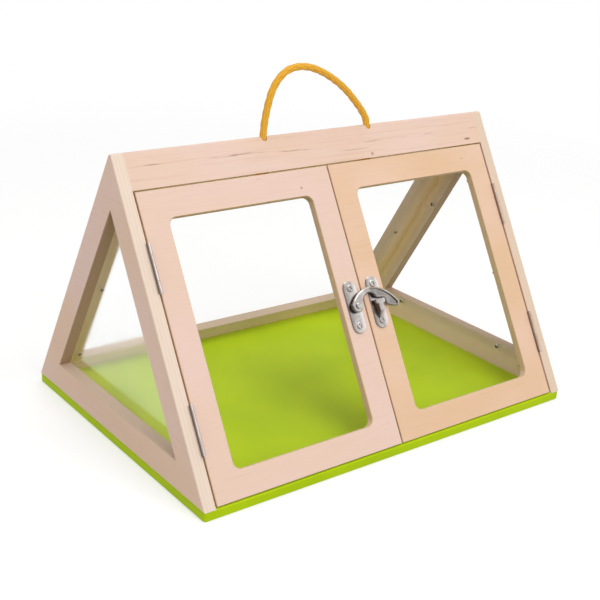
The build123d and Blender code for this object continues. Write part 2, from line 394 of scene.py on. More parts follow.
@dataclass(frozen=True)
class BirchPlywood(Wood):
    """Sanded birch plywood: rosy pale veneer on the faces, thin cream and tan plies on the edges."""

    middle: Triple = (0.0, 0.0, 0.0)
    face_span: Span = (0.72, 0.9)
    edge_pale: str = "F3DECB"
    edge_tan: str = "E0C6AB"
    ply_mm: float = 1.45
    ply_border: Span = (0.42, 0.58)
    ply_depth: float = 0.26
    edge_streak_mm: Triple = (26.0, 26.0, 0.5)
    edge_streak_span: Span = (0.3, 0.7)
    edge_wear: Span = (0.25, 1.3)
    # Painted shade on the edges round the windows, most where they face down
    reveal_shade: str = "BD9A78"
    reveal_shade_depth: float = 0.85
    reveal_shade_upper_share: float = 0.0
    reveal_shade_span_mm: Span = (-4.0, 4.0)
    underside_span: Span = (-0.5, 0.5)

    def paint(self, tree: bpy.types.NodeTree, shader: bpy.types.Node) -> None:
        """Adds veneer where the surface lies in the board's plane, and plies where it cuts across, with
        painted shade on the edges round the windows.

        Args:
            tree: The material's node tree.
            shader: Its Principled BSDF.
        """
        board = self.board(tree, "Object")
        face = self.face(tree, shader, board)
        through = add_node(tree, "SeparateXYZ", (board,), "Z")
        plies = add_node(tree, "Math", (through, self.ply_mm * MM), operation="PINGPONG")
        border = (share * self.ply_mm * MM for share in self.ply_border)
        cross_ply = add_node(tree, "MapRange", (plies, *border, 0.0, self.ply_depth), **SMOOTH)
        streak = stretched_noise(tree, board, self.edge_streak_mm, detail=3.0)
        wear = add_node(tree, "MapRange", (streak, *self.edge_streak_span, *self.edge_wear), **SMOOTH)
        worn = add_node(tree, "Math", (cross_ply, wear), operation="MULTIPLY")
        pale, tan, reveal_shade = (linear(code) for code in (self.edge_pale, self.edge_tan, self.reveal_shade))
        plain = add_node(tree, "Mix", {0: worn, 6: pale, 7: tan}, **COLOURS)
        # The edges round the windows get painted shade
        edge = add_node(tree, "Mix", {0: self.reveal_shade_share(tree), 6: plain, 7: reveal_shade}, **COLOURS)
        facing = add_node(tree, "SeparateXYZ", (self.board(tree, "Normal"),), "Z")
        flat = add_node(tree, "Math", (facing,), operation="ABSOLUTE")
        veneer = add_node(tree, "MapRange", (flat, *self.face_span, 0.0, 1.0), **SMOOTH)
        colour = add_node(tree, "Mix", {0: veneer, 6: edge, 7: face}, **COLOURS)
        tree.links.new(colour, shader.inputs["Base Color"])

    def reveal_shade_share(self, tree: bpy.types.NodeTree) -> bpy.types.NodeSocket:
        """Adds painted shade where a surface faces the middle of its own board, as the edges round a window
        do.

        Args:
            tree: The material's node tree.

        Returns:
            How much painted shade the edge gets, most where it faces down, and 0 on the board's outer edges.
        """
        place, normal = (add_node(tree, "TexCoord", (), output) for output in ("Object", "Normal"))
        away = add_node(tree, "VectorMath", (place, self.middle), operation="SUBTRACT")
        facing = add_node(tree, "VectorMath", (away, normal), "Value", operation="DOT_PRODUCT")
        span = (distance * MM for distance in self.reveal_shade_span_mm)
        inner = add_node(tree, "MapRange", (facing, *span, self.reveal_shade_depth, 0.0), **SMOOTH)
        height = add_node(tree, "SeparateXYZ", (normal,), "Z")
        shares = (1.0, self.reveal_shade_upper_share)
        under = add_node(tree, "MapRange", (height, *self.underside_span, *shares), **SMOOTH)
        return add_node(tree, "Math", (inner, under), operation="MULTIPLY")


@dataclass(frozen=True)
class RidgeWood(Wood):
    """Planed solid wood with long grain: faint streaks along the bar and one dark broken seam."""

    streak_mm: Triple = (110.0, 2.4, 14.0)
    streak_span: Span = (0.5, 0.74)
    streak_depth: float = 0.26
    seam_rise_mm: float = 253.2
    seam_wander_mm: float = 3.4
    seam_wave_mm: Triple = (150.0, 900.0, 900.0)
    seam_wave_span: Span = (0.2, 0.8)
    seam_half_width_mm: float = 0.75
    seam_core_share: float = 0.15
    seam_break_mm: Triple = (34.0, 900.0, 900.0)
    seam_break_span: Span = (0.46, 0.66)
    seam_depths: Span = (0.03, 0.48)
    front_span: Span = (0.5, 0.9)

    def paint(self, tree: bpy.types.NodeTree, shader: bpy.types.Node) -> None:
        """Adds the long streaks and the seam over the wood's own grain.

        Args:
            tree: The material's node tree.
            shader: Its Principled BSDF.
        """
        board = self.board(tree, "Object")
        face = self.face(tree, shader, board)
        streak = stretched_noise(tree, board, self.streak_mm, detail=3.0)
        streaked = tinted(tree, face, self.vein, streak, self.streak_span, self.streak_depth)
        seam = self.seam(tree, board)
        colour = add_node(tree, "Mix", {0: seam, 6: streaked, 7: linear(self.knot)}, **COLOURS)
        tree.links.new(colour, shader.inputs["Base Color"])

    def seam(self, tree: bpy.types.NodeTree, board: bpy.types.NodeSocket) -> bpy.types.NodeSocket:
        """Adds the seam, a line that wanders along the front face and is faint in places.

        Args:
            tree: The material's node tree.
            board: Coordinates along, up and through the board.

        Returns:
            How dark the seam is.
        """
        wave = stretched_noise(tree, board, self.seam_wave_mm, detail=3.0)
        rises = ((self.seam_rise_mm + way * self.seam_wander_mm) * MM for way in (-1, 1))
        middle = add_node(tree, "MapRange", (wave, *self.seam_wave_span, *rises), **SMOOTH)
        rise = add_node(tree, "SeparateXYZ", (board,), "Y")
        gap = add_node(tree, "Math", (rise, middle), operation="SUBTRACT")
        distance = add_node(tree, "Math", (gap,), operation="ABSOLUTE")
        half = self.seam_half_width_mm * MM
        line = add_node(tree, "MapRange", (distance, self.seam_core_share * half, half, 1.0, 0.0), **SMOOTH)
        breaks = stretched_noise(tree, board, self.seam_break_mm, detail=3.0)
        depth = add_node(tree, "MapRange", (breaks, *self.seam_break_span, *self.seam_depths), **SMOOTH)
        facing = add_node(tree, "SeparateXYZ", (self.board(tree, "Normal"),), "Z")
        front = add_node(tree, "MapRange", (facing, *self.front_span, 0.0, 1.0), **SMOOTH)
        broken = add_node(tree, "Math", (line, depth), operation="MULTIPLY")
        return add_node(tree, "Math", (broken, front), operation="MULTIPLY")


@dataclass(frozen=True)
class LimePaint(Finish):
    """Satin lime-green paint rolled on a board: even colour, a soft sheen and a faint orange peel."""

    deep: str = "B4D104"
    bright: str = "BFDA08"
    cloud_mm: float = 60.0
    cloud_span: Span = (0.3, 0.7)
    peel_mm: float = 1.6
    bump_mm: float = 0.03
    bump_strength: float = 0.4

    def sockets(self) -> dict[str, SocketValue]:
        """A satin varnish-like sheen."""
        return {"Roughness": 0.5, "Specular IOR Level": 0.12}

    def paint(self, tree: bpy.types.NodeTree, shader: bpy.types.Node) -> None:
        """Adds slow clouding of the colour and the roller's fine texture.

        Args:
            tree: The material's node tree.
            shader: Its Principled BSDF.
        """
        place = add_node(tree, "TexCoord", (), "Object")
        cloud = stretched_noise(tree, place, (self.cloud_mm,) * 3, detail=3.0)
        colour = tinted(tree, linear(self.deep), self.bright, cloud, self.cloud_span)
        tree.links.new(colour, shader.inputs["Base Color"])
        peel = stretched_noise(tree, place, (self.peel_mm,) * 3, detail=2.0)
        bump = {"Height": peel, "Distance": self.bump_mm * MM, "Strength": self.bump_strength}
        tree.links.new(add_node(tree, "Bump", bump), shader.inputs["Normal"])


@dataclass(frozen=True)
class ClearAcrylic(Finish):
    """Cast acrylic sheet: clear, glossy, with faint smudges of handling."""

    haze: str = "E6EEEC"
    smudge: str = "D6E2E2"
    smudge_mm: float = 70.0
    smudge_span: Span = (0.35, 0.7)
    roughness: Span = (0.03, 0.12)
    body: float = 0.006
    glass: float = 0.0

    @property
    def casts_shadow(self) -> bool:
        """Light passes through the sheet."""
        return False

    def sockets(self) -> dict[str, SocketValue]:
        """Little of the sheet itself shows, and what shows may bend and mirror as a solid sheet does."""
        return {"Alpha": self.body, "Transmission Weight": self.glass, "IOR": 1.49}

    def paint(self, tree: bpy.types.NodeTree, shader: bpy.types.Node) -> None:
        """Adds faint smudges that change the haze and the gloss.

        Args:
            tree: The material's node tree.
            shader: Its Principled BSDF.
        """
        place = add_node(tree, "TexCoord", (), "Object")
        noise = stretched_noise(tree, place, (self.smudge_mm,) * 3, detail=3.0)
        haze, smudge = linear(self.haze), linear(self.smudge)
        colour = add_node(tree, "Mix", {0: noise, 6: haze, 7: smudge}, **COLOURS)
        tree.links.new(colour, shader.inputs["Base Color"])
        gloss = add_node(tree, "MapRange", (noise, *self.smudge_span, *self.roughness), **SMOOTH)
        tree.links.new(gloss, shader.inputs["Roughness"])


@dataclass(frozen=True)
class RolledSteel(Finish):
    """Dull rolled hinge steel: grey-brown and drawn lengthwise, with a painted highlight on the faces turned
    to one side and painted shade on those turned to the other.
    """

    pale: str = "A59A93"
    dark: str = "8A7F78"
    # Real drawing marks are much finer, and are drawn as coarse as they need to show
    draw_mm: Triple = (0.35, 9.0, 9.0)
    draw_span: Span = (0.3, 0.7)
    roughness: Span = (0.34, 0.5)
    # A painted highlight on the faces turned to the right, and painted shade on those turned to the left
    painted_highlight: str = "C6BBBB"
    painted_highlight_span: Span = (-0.35, 0.15)
    dull: str = "5F5248"
    painted_shade_span: Span = (-0.6, -0.9)
    painted_shade_depth: float = 0.8

    def sockets(self) -> dict[str, SocketValue]:
        """A plain metal."""
        return {"Metallic": 1.0}

    def paint(self, tree: bpy.types.NodeTree, shader: bpy.types.Node) -> None:
        """Adds the drawn streaks to the colour and the gloss, and a painted highlight on one side and painted
        shade on the other.

        Args:
            tree: The material's node tree.
            shader: Its Principled BSDF.
        """
        place, normal = (add_node(tree, "TexCoord", (), output) for output in ("Object", "Normal"))
        streak = stretched_noise(tree, place, self.draw_mm, detail=3.0)
        colour = tinted(tree, linear(self.pale), self.dark, streak, self.draw_span)
        side = tuple(FRONT_SLOPE.along)
        lean = add_node(tree, "VectorMath", (normal, side), "Value", operation="DOT_PRODUCT")
        # Painted highlight on the faces turned right, painted shade on those turned left
        colour = tinted(tree, colour, self.painted_highlight, lean, self.painted_highlight_span)
        colour = tinted(tree, colour, self.dull, lean, self.painted_shade_span, self.painted_shade_depth)
        tree.links.new(colour, shader.inputs["Base Color"])
        gloss = add_node(tree, "MapRange", (streak, *self.draw_span, *self.roughness), **SMOOTH)
        tree.links.new(gloss, shader.inputs["Roughness"])


@dataclass(frozen=True)
class NickelPlate(Finish):
    """Nickel-plated pressed steel: warm grey, with a painted highlight on the faces turned to one side and
    painted shade on those turned away.
    """

    pale: str = "CFC9C5"
    dark: str = "B4ADA9"
    polish_mm: float = 8.0
    polish_span: Span = (0.35, 0.65)
    gloss_span: Span = (0.3, 0.7)
    roughness: Span = (0.13, 0.2)
    bump_mm: float = 0.06
    bump_strength: float = 0.4
    # A painted highlight on the faces turned right and up the slope, and painted shade on those turned away
    painted_highlight: str = "FCFAF8"
    highlight_side: Span = (0.8, 0.6)
    painted_highlight_span: Span = (0.1, 0.55)
    painted_highlight_depth: float = 0.9
    dull: str = "5A5450"
    painted_shade_span: Span = (-0.15, -0.6)
    painted_shade_depth: float = 0.8
    # Painted shade where the arm lies close to the door, in its pressed hollow
    hollow_shade_depth: float = 0.0
    hollow_shade_mm: Span = (4.9, 4.0)
    # Painted light and shade across each plate, as a slight crown would give
    crown: float = 0.0
    plate_edge_mm: float = 18.55
    plate_pitch_mm: float = 23.9
    plate_width_mm: float = 13.2

    def sockets(self) -> dict[str, SocketValue]:
        """A plain metal."""
        return {"Metallic": 1.0}

    def paint(self, tree: bpy.types.NodeTree, shader: bpy.types.Node) -> None:
        """Adds polishing marks, a painted highlight and painted shade by which way the surface faces, and
        painted shade where a pressed arm lies close to the door.

        Args:
            tree: The material's node tree.
            shader: Its Principled BSDF.
        """
        place, normal = (add_node(tree, "TexCoord", (), output) for output in ("Object", "Normal"))
        polish = stretched_noise(tree, place, (self.polish_mm,) * 3, detail=2.0)
        colour = tinted(tree, linear(self.pale), self.dark, polish, self.polish_span)
        # Painted shade on the surfaces that lie close to the door
        if self.hollow_shade_depth:
            out = tuple(FRONT_SLOPE.out)
            off = add_node(tree, "VectorMath", (place, out), "Value", operation="DOT_PRODUCT")
            face = FRONT_SLOPE.foot.dot(FRONT_SLOPE.out)
            span = [face + height * MM for height in self.hollow_shade_mm]
            colour = tinted(tree, colour, self.dull, off, span, self.hollow_shade_depth)
        along, up = self.highlight_side
        side = tuple(FRONT_SLOPE.along * along + FRONT_SLOPE.up * up)
        lean = add_node(tree, "VectorMath", (normal, side), "Value", operation="DOT_PRODUCT")
        if self.crown:
            lean = self.painted_crown_lean(tree, lean, place)
        # Painted highlight and painted shade by which way the surface faces
        colour = tinted(tree, colour, self.painted_highlight, lean, self.painted_highlight_span, self.painted_highlight_depth)
        colour = tinted(tree, colour, self.dull, lean, self.painted_shade_span, self.painted_shade_depth)
        tree.links.new(colour, shader.inputs["Base Color"])
        gloss = add_node(tree, "MapRange", (polish, *self.gloss_span, *self.roughness), **SMOOTH)
        tree.links.new(gloss, shader.inputs["Roughness"])
        bump = {"Height": polish, "Distance": self.bump_mm * MM, "Strength": self.bump_strength}
        tree.links.new(add_node(tree, "Bump", bump), shader.inputs["Normal"])

    def painted_crown_lean(
        self, tree: bpy.types.NodeTree, lean: bpy.types.NodeSocket, place: bpy.types.NodeSocket
    ) -> bpy.types.NodeSocket:
        """Adds painted light and shade across each of the two plates, as a slight crown would give by turning
        their faces from one side to the other.

        Args:
            tree: The material's node tree.
            lean: How far the surface leans to the side of the painted highlight.
            place: Coordinates in metres.

        Returns:
            The lean with the crown's own lean added.
        """
        side = tuple(FRONT_SLOPE.along)
        across = add_node(tree, "VectorMath", (place, side), "Value", operation="DOT_PRODUCT")
        from_edge = add_node(tree, "Math", (across, self.plate_edge_mm * MM), operation="ADD")
        repeat = add_node(tree, "Math", (from_edge, self.plate_pitch_mm * MM), operation="MODULO")
        spans = (0.0, self.plate_width_mm * MM, -self.crown, self.crown)
        turned = add_node(tree, "MapRange", (repeat, *spans), **SMOOTH)
        return add_node(tree, "Math", (lean, turned), operation="ADD")


@dataclass(frozen=True)
class TwistedRope(Finish):
    """Twisted cotton rope dyed yellow-orange: matt, with yarns winding round each strand."""

    bright: str = "F8BA2C"
    deep: str = "D08A12"
    # Real yarns and fibres are finer, and are drawn as coarse as they need to show
    yarns: int = 5
    yarn_turn_mm: float = 7.0
    strand_length_mm: float = 192.0
    half_yarn: float = 0.5
    groove_span: Span = (0.02, 0.3)
    groove_shade_depth: float = 0.55
    fibre_mm: float = 0.7
    fibre_span: Span = (0.45, 0.8)
    fibre_depth: float = 0.4
    bump_mm: float = 0.3
    bump_strength: float = 0.6

    def sockets(self) -> dict[str, SocketValue]:
        """A soft fibre with no gloss and a little sheen."""
        return {"Roughness": 0.85, "Sheen Weight": 0.25, "Sheen Roughness": 0.5}

    def paint(self, tree: bpy.types.NodeTree, shader: bpy.types.Node) -> None:
        """Adds the yarns on the strands' own map, with painted shade in the grooves between them, and loose
        fibre colour over them.

        Args:
            tree: The material's node tree.
            shader: Its Principled BSDF.
        """
        place, strand = (add_node(tree, "TexCoord", (), output) for output in ("Object", "UV"))
        along, around = (add_node(tree, "SeparateXYZ", (strand,), axis) for axis in ("X", "Y"))
        turns = self.strand_length_mm / self.yarn_turn_mm
        wound = add_node(tree, "Math", (along, turns), operation="MULTIPLY")
        winding = add_node(tree, "Math", (around, float(self.yarns), wound), operation="MULTIPLY_ADD")
        yarn = add_node(tree, "Math", (winding, self.half_yarn), operation="PINGPONG")
        # The grooves between the yarns are darkened with painted shade
        groove = add_node(tree, "MapRange", (yarn, *self.groove_span, 1.0, 0.0), **SMOOTH)
        noise = stretched_noise(tree, place, (self.fibre_mm,) * 3, detail=2.0)
        fibre = add_node(tree, "MapRange", (noise, *self.fibre_span, 0.0, self.fibre_depth), **SMOOTH)
        shade = add_node(tree, "Math", (groove, self.groove_shade_depth, fibre), operation="MULTIPLY_ADD")
        colour = add_node(tree, "Mix", {0: shade, 6: linear(self.bright), 7: linear(self.deep)}, **COLOURS)
        tree.links.new(colour, shader.inputs["Base Color"])
        bump = {"Height": yarn, "Distance": self.bump_mm * MM, "Strength": self.bump_strength}
        tree.links.new(add_node(tree, "Bump", bump), shader.inputs["Normal"])


@dataclass(frozen=True)
class StudioFloor(Finish):
    """A matt white studio floor that the camera sees a little brighter than its light makes it."""

    white: str = "CFCFCE"
    lift: float = 0.50
    fade: Span = (0.45, 1.4)

    def sockets(self) -> dict[str, SocketValue]:
        """Matt, with nothing mirrored.

        Returns:
            The shader's settings.
        """
        return {
            "Base Color": linear(self.white),
            "Roughness": 1.0,
            "Specular IOR Level": 0.0,
            "Emission Color": linear("FFFFFF"),
        }

    def paint(self, tree: bpy.types.NodeTree, shader: bpy.types.Node) -> None:
        """Lifts the floor towards white for the camera and lets it fade into the surround.

        Args:
            tree: The material's node tree.
            shader: Its Principled BSDF.
        """
        tree.links.new(background_share(tree, self.lift), shader.inputs["Emission Strength"])
        place = add_node(tree, "TexCoord", (), "Object")
        distance = add_node(tree, "VectorMath", (place,), "Value", operation="LENGTH")
        solid = add_node(tree, "MapRange", (distance, *self.fade, 1.0, 0.0), **SMOOTH)
        tree.links.new(solid, shader.inputs["Alpha"])


def background_share(tree: bpy.types.NodeTree, strength: float) -> bpy.types.NodeSocket:
    """Adds a value for the rays that show the background: straight, mirrored or through a pane.

    Args:
        tree: The node tree of a floor or a world.
        strength: The value for those rays.

    Returns:
        The strength for those rays, and 0 for the ones that carry light.
    """
    seen = add_node(tree, "LightPath", (), "Is Camera Ray")
    for name in ("Is Glossy Ray", "Is Transmission Ray"):
        ray = add_node(tree, "LightPath", (), name)
        seen = add_node(tree, "Math", (seen, ray), operation="MAXIMUM")
    return add_node(tree, "Math", (seen, strength), operation="MULTIPLY")


@dataclass(frozen=True)
class Softbox:
    """A square soft lamp: where it hangs, the length of its side in metres and its power in watts."""

    name: str
    place: Triple
    size: float
    power: float


@dataclass
class Studio:
    """White floor, soft light and a camera at the photograph's viewing angle."""

    camera_place: Vector = Vector((-0.5518, -0.6931, 0.4336))
    camera_right: Vector = Vector((0.7976, -0.6011, 0.0504))
    camera_up: Vector = Vector((0.1822, 0.3197, 0.9299))
    lens_mm: float = 65.3
    sensor_mm: float = 36.0
    near_clip: float = 10.0 * MM
    floor_size: float = 8.0
    ambient: float = 0.44
    aim: Vector = Vector((0.0, 0.0, 0.11))
    lamps: tuple[Softbox, ...] = (
        Softbox("front_softbox", (0.05, -1.6, 1.3), size=1.3, power=16.0),
        Softbox("overhead_softbox", (0.2, 0.1, 1.9), size=1.4, power=9.0),
        Softbox("left_softbox", (-1.7, 0.1, 1.0), size=1.2, power=5.5),
    )

    def place_camera(self) -> None:
        """Sets the camera."""
        data = bpy.data.cameras.new("camera")
        data.lens = self.lens_mm
        data.sensor_width = self.sensor_mm
        data.clip_start = self.near_clip
        camera = bpy.data.objects.new("camera", data)
        back = self.camera_right.cross(self.camera_up)
        axes = Matrix((self.camera_right, self.camera_up, back)).transposed()
        camera.matrix_world = Matrix.Translation(self.camera_place) @ axes.to_4x4()
        bpy.context.scene.collection.objects.link(camera)
        bpy.context.scene.camera = camera
        LOG.info("placed the camera")

    def lay_floor(self) -> None:
        """Lays the floor that the house stands on."""
        mesh = bpy.data.meshes.new("studio_floor")
        shape = bmesh.new()
        bmesh.ops.create_grid(shape, x_segments=1, y_segments=1, size=self.floor_size / 2)
        shape.to_mesh(mesh)
        shape.free()
        mesh.materials.append(StudioFloor("matt_studio_floor").material())
        floor = bpy.data.objects.new("studio_floor", mesh)
        bpy.context.scene.collection.objects.link(floor)
        LOG.info("laid the floor")

    def hang(self, softbox: Softbox) -> None:
        """Hangs one lamp that points at the house.

        Args:
            softbox: The lamp.
        """
        data = bpy.data.lights.new(softbox.name, "AREA")
        data.size = softbox.size
        data.energy = softbox.power
        lamp = bpy.data.objects.new(softbox.name, data)
        place = Vector(softbox.place)
        turn = (self.aim - place).to_track_quat("-Z", "Y").to_matrix().to_4x4()
        lamp.matrix_world = Matrix.Translation(place) @ turn
        bpy.context.scene.collection.objects.link(lamp)
        LOG.info("hung %s", softbox.name)

    def light(self) -> None:
        """Sets an even white surround, a large soft lamp in front and weaker ones above and at the left."""
        bpy.context.scene.view_settings.view_transform = "Standard"
        world = bpy.data.worlds.new("white_surround")
        world.use_nodes = True
        bpy.context.scene.world = world
        tree = world.node_tree
        surround = tree.nodes["Background"]
        surround.inputs["Color"].default_value = linear("FFFFFF")
        extra = background_share(tree, 1.0 - self.ambient)
        strength = add_node(tree, "Math", (extra, self.ambient), operation="ADD")
        tree.links.new(strength, surround.inputs["Strength"])
        for softbox in self.lamps:
            self.hang(softbox)


def spline_points(name: str, points: Sequence[Vector], steps: int) -> list[Vector]:
    """Reads the points of a smooth NURBS line.

    Args:
        name: A name for the line while it is read.
        points: Its control points.
        steps: How finely each stretch is read.

    Returns:
        The points along the line, in order.
    """
    curve = bpy.data.curves.new(name, "CURVE")
    curve.dimensions = "3D"
    curve.resolution_u = steps
    spline = curve.splines.new("NURBS")
    spline.points.add(len(points) - 1)
    for control, point in zip(spline.points, points):
        control.co = (*point, 1.0)
    spline.order_u = 3
    spline.use_endpoint_u = True
    guide = bpy.data.objects.new(name, curve)
    line = bpy.data.meshes.new_from_object(guide)
    read = [vertex.co.copy() for vertex in line.vertices]
    bpy.data.meshes.remove(line)
    bpy.data.objects.remove(guide)
    bpy.data.curves.remove(curve)
    return read


@dataclass(frozen=True)
class Strands:
    """How a rope is laid: strands that wind round each other and fill its diameter."""

    diameter: float
    lay_length: float
    count: int = 4
    roundness: int = 3
    strand_share: float = 0.62

    @property
    def strand_radius(self) -> float:
        """The strands' radius; soft strands press into each other, so they are wider than round ones."""
        return self.diameter / 2 * self.strand_share

    def mesh(self, name: str, line: Sequence[Vector]) -> bpy.types.Mesh:
        """Winds the strands along a line.

        Args:
            name: The mesh's name.
            line: Points along the rope's middle.

        Returns:
            The closed strands as one mesh, with a map along and around each.
        """
        curve = bpy.data.curves.new(name, "CURVE")
        curve.dimensions = "3D"
        curve.bevel_depth = self.strand_radius
        curve.bevel_resolution = self.roundness
        curve.use_fill_caps = True
        winding = self.diameter / 2 - self.strand_radius
        directions = [(after - before).normalized() for before, after in zip(line, line[1:])]
        directions.append(directions[-1])
        for strand in range(self.count):
            spline = curve.splines.new("POLY")
            spline.points.add(len(line) - 1)
            side = directions[0].orthogonal().normalized()
            travelled = 0.0
            for place, point in enumerate(line):
                if place:
                    travelled += (point - line[place - 1]).length
                    side.rotate(directions[place - 1].rotation_difference(directions[place]))
                angle = 2 * math.pi * (travelled / self.lay_length + strand / self.count)
                turn = Matrix.Rotation(angle, 3, directions[place])
                spline.points[place].co = (*(point + turn @ side * winding), 1.0)
        wound = bpy.data.objects.new(name, curve)
        mesh = bpy.data.meshes.new_from_object(wound)
        mesh.name = name
        bpy.data.objects.remove(wound)
        bpy.data.curves.remove(curve)
        mesh.shade_smooth()
        return mesh


@dataclass
class RopeHandle:
    """The carrying rope: an arch that leans to the left, and a knot under the beam at each end."""

    diameter: float = 6.0 * MM
    length: float = 179.1 * MM
    lay_length: float = 32.0 * MM
    spline_steps: int = 26
    # The route in its upright plane: x, and height above the ridge, in millimetres
    route_mm: tuple[tuple[float, float], ...] = (
        (-54.0, -6.4),
        (-54.0, 6.0),
        (-51.0, 23.5),
        (-45.6, 40.2),
        (-33.2, 52.4),
        (-14.5, 53.9),
        (4.5, 47.4),
        (25.0, 34.9),
        (38.8, 22.0),
        (49.6, 10.2),
        (54.0, 2.8),
        (54.0, -6.4),
    )
    knot_rope_diameter: float = 4.8 * MM
    knot_seat: float = 2.9 * MM
    knot_drop: float = 5.8 * MM
    knot_turns: float = 1.6
    knot_points_per_turn: int = 6
    knot_spline_steps: int = 8

    def build(self) -> None:
        finish = TwistedRope("twisted_cotton_rope").material()
        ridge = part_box("ridge_beam")[1][2]
        route = [Vector((x * MM, 0.0, ridge + height * MM)) for x, height in self.route_mm]
        line = spline_points("rope_route", route, self.spline_steps)
        mesh = Strands(self.diameter, self.lay_length).mesh("rope", line)
        mesh.materials.append(finish)
        rope = new_piece("rope", mesh, "house")
        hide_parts("rope_handle")
        knots = [self.build_knot(side, finish) for side in Side]

    def build_knot(self, side: Side, finish: bpy.types.Material) -> bpy.types.Object:
        """Builds the wound knot and tail at one end of the rope.

        Args:
            side: The end of the house that the knot is nearer to.
            finish: The rope's material.

        Returns:
            The knot.
        """
        node = f"{side.word}_rope_knot"
        low, high = (Vector(corner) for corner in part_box(node))
        middle = (low + high) / 2
        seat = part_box("ridge_beam")[0][2]
        wind_radius = (high.x - low.x) / 2 - self.knot_rope_diameter / 2
        points = [Vector((middle.x, middle.y, height)) for height in (high.z, seat + self.knot_seat, seat)]
        count = round(self.knot_turns * self.knot_points_per_turn)
        for step in range(count + 1):
            angle = side.value * 2 * math.pi * step / self.knot_points_per_turn
            height = seat - self.knot_seat - self.knot_drop * step / count
            offset = Vector((math.cos(angle), math.sin(angle), 0.0)) * wind_radius
            points.append(Vector((middle.x, middle.y, height)) + offset)
        tail_top = seat - self.knot_seat - self.knot_drop
        points += [Vector((middle.x, middle.y, height)) for height in (tail_top - self.knot_seat, low.z)]
        line = spline_points(f"{node}_route", points, self.knot_spline_steps)
        mesh = Strands(self.knot_rope_diameter, self.lay_length).mesh(f"{side.word}_knot", line)
        mesh.materials.append(finish)
        knot = new_piece(f"{side.word}_knot", mesh, "house")
        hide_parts(node)
        return knot


@dataclass(frozen=True)
class CrossHeadScrew:
    """A low domed screw head with a cross slot."""

    radius: float
    height: float
    segments: int = 28
    shoulder_share: float = 0.5
    shoulder_scale: float = 0.94
    crown_scale: float = 0.74
    slot_length_share: float = 0.62
    slot_width_share: float = 0.17
    slot_depth_share: float = 0.75
    slot_taper: float = 0.8

    def add_to(self, shape: bmesh.types.BMesh, place: Matrix) -> None:
        """Adds one screw head to a shape.

        Args:
            shape: The bmesh to add it to.
            place: The head's frame, with z out of the surface that it sits on.
        """
        before = set(shape.verts)
        ring = bmesh.ops.create_circle(shape, segments=self.segments, radius=self.radius)["verts"]
        rim = list({edge for vertex in ring for edge in vertex.link_edges})
        bmesh.ops.edgeloop_fill(shape, edges=rim)
        heights = (self.shoulder_share, 1 - self.shoulder_share)
        scales = (self.shoulder_scale, self.crown_scale / self.shoulder_scale)
        for share, scale in zip(heights, scales):
            rim = self.raised(shape, rim, share * self.height, scale)
        cross = self.cross_edges(shape)
        bmesh.ops.triangle_fill(shape, edges=rim + cross, use_beauty=True, use_dissolve=False)
        floor = self.raised(shape, cross, -self.slot_depth_share * self.height, self.slot_taper)
        bmesh.ops.edgeloop_fill(shape, edges=floor)
        added = [vertex for vertex in shape.verts if vertex not in before]
        faces = list({face for vertex in added for face in vertex.link_faces})
        bmesh.ops.recalc_face_normals(shape, faces=faces)
        bmesh.ops.transform(shape, matrix=place, verts=added)

    def raised(
        self, shape: bmesh.types.BMesh, edges: list[bmesh.types.BMEdge], rise: float, scale: float
    ) -> list[bmesh.types.BMEdge]:
        """Extrudes a loop of edges along z and scales it about the head's middle.

        Args:
            shape: The bmesh that holds the loop.
            edges: The loop.
            rise: How far it goes along z.
            scale: Its new size as a share of the old one.

        Returns:
            The new loop.
        """
        made = bmesh.ops.extrude_edge_only(shape, edges=edges)["geom"]
        verts = [item for item in made if isinstance(item, bmesh.types.BMVert)]
        bmesh.ops.scale(shape, verts=verts, vec=(scale, scale, 1.0))
        bmesh.ops.translate(shape, verts=verts, vec=(0.0, 0.0, rise))
        chosen = set(verts)
        return [edge for edge in shape.edges if edge.verts[0] in chosen and edge.verts[1] in chosen]

    def cross_edges(self, shape: bmesh.types.BMesh) -> list[bmesh.types.BMEdge]:
        """Adds the outline of the cross slot on the crown.

        Args:
            shape: The bmesh to add it to.

        Returns:
            The outline's edges.
        """
        reach = self.radius * self.slot_length_share
        half = self.radius * self.slot_width_share
        corners = []
        for quarter in range(4):
            turn = Matrix.Rotation(quarter * math.pi / 2, 3, "Z")
            for corner in ((reach, -half), (reach, half), (half, half)):
                corners.append(shape.verts.new(turn @ Vector((*corner, self.height))))
        return [shape.edges.new((corner, after)) for corner, after in zip(corners, corners[1:] + corners[:1])]

    def piece(self, name: str, places: Sequence[Matrix], body: str) -> bpy.types.Object:
        """Makes one piece of several screw heads.

        Args:
            name: The piece's name.
            places: The heads' frames.
            body: The CAD body that they are driven into.

        Returns:
            The new object.
        """
        shape = bmesh.new()
        for place in places:
            self.add_to(shape, place)
        mesh = bpy.data.meshes.new(name)
        shape.to_mesh(mesh)
        shape.free()
        mesh.materials.append(NickelPlate("nickel_plated_steel").material())
        return new_piece(name, mesh, body)


def board_middle(node: str) -> Triple:
    """The middle of a CAD node's box."""
    low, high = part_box(node)
    return tuple((near + far) / 2 for near, far in zip(low, high))


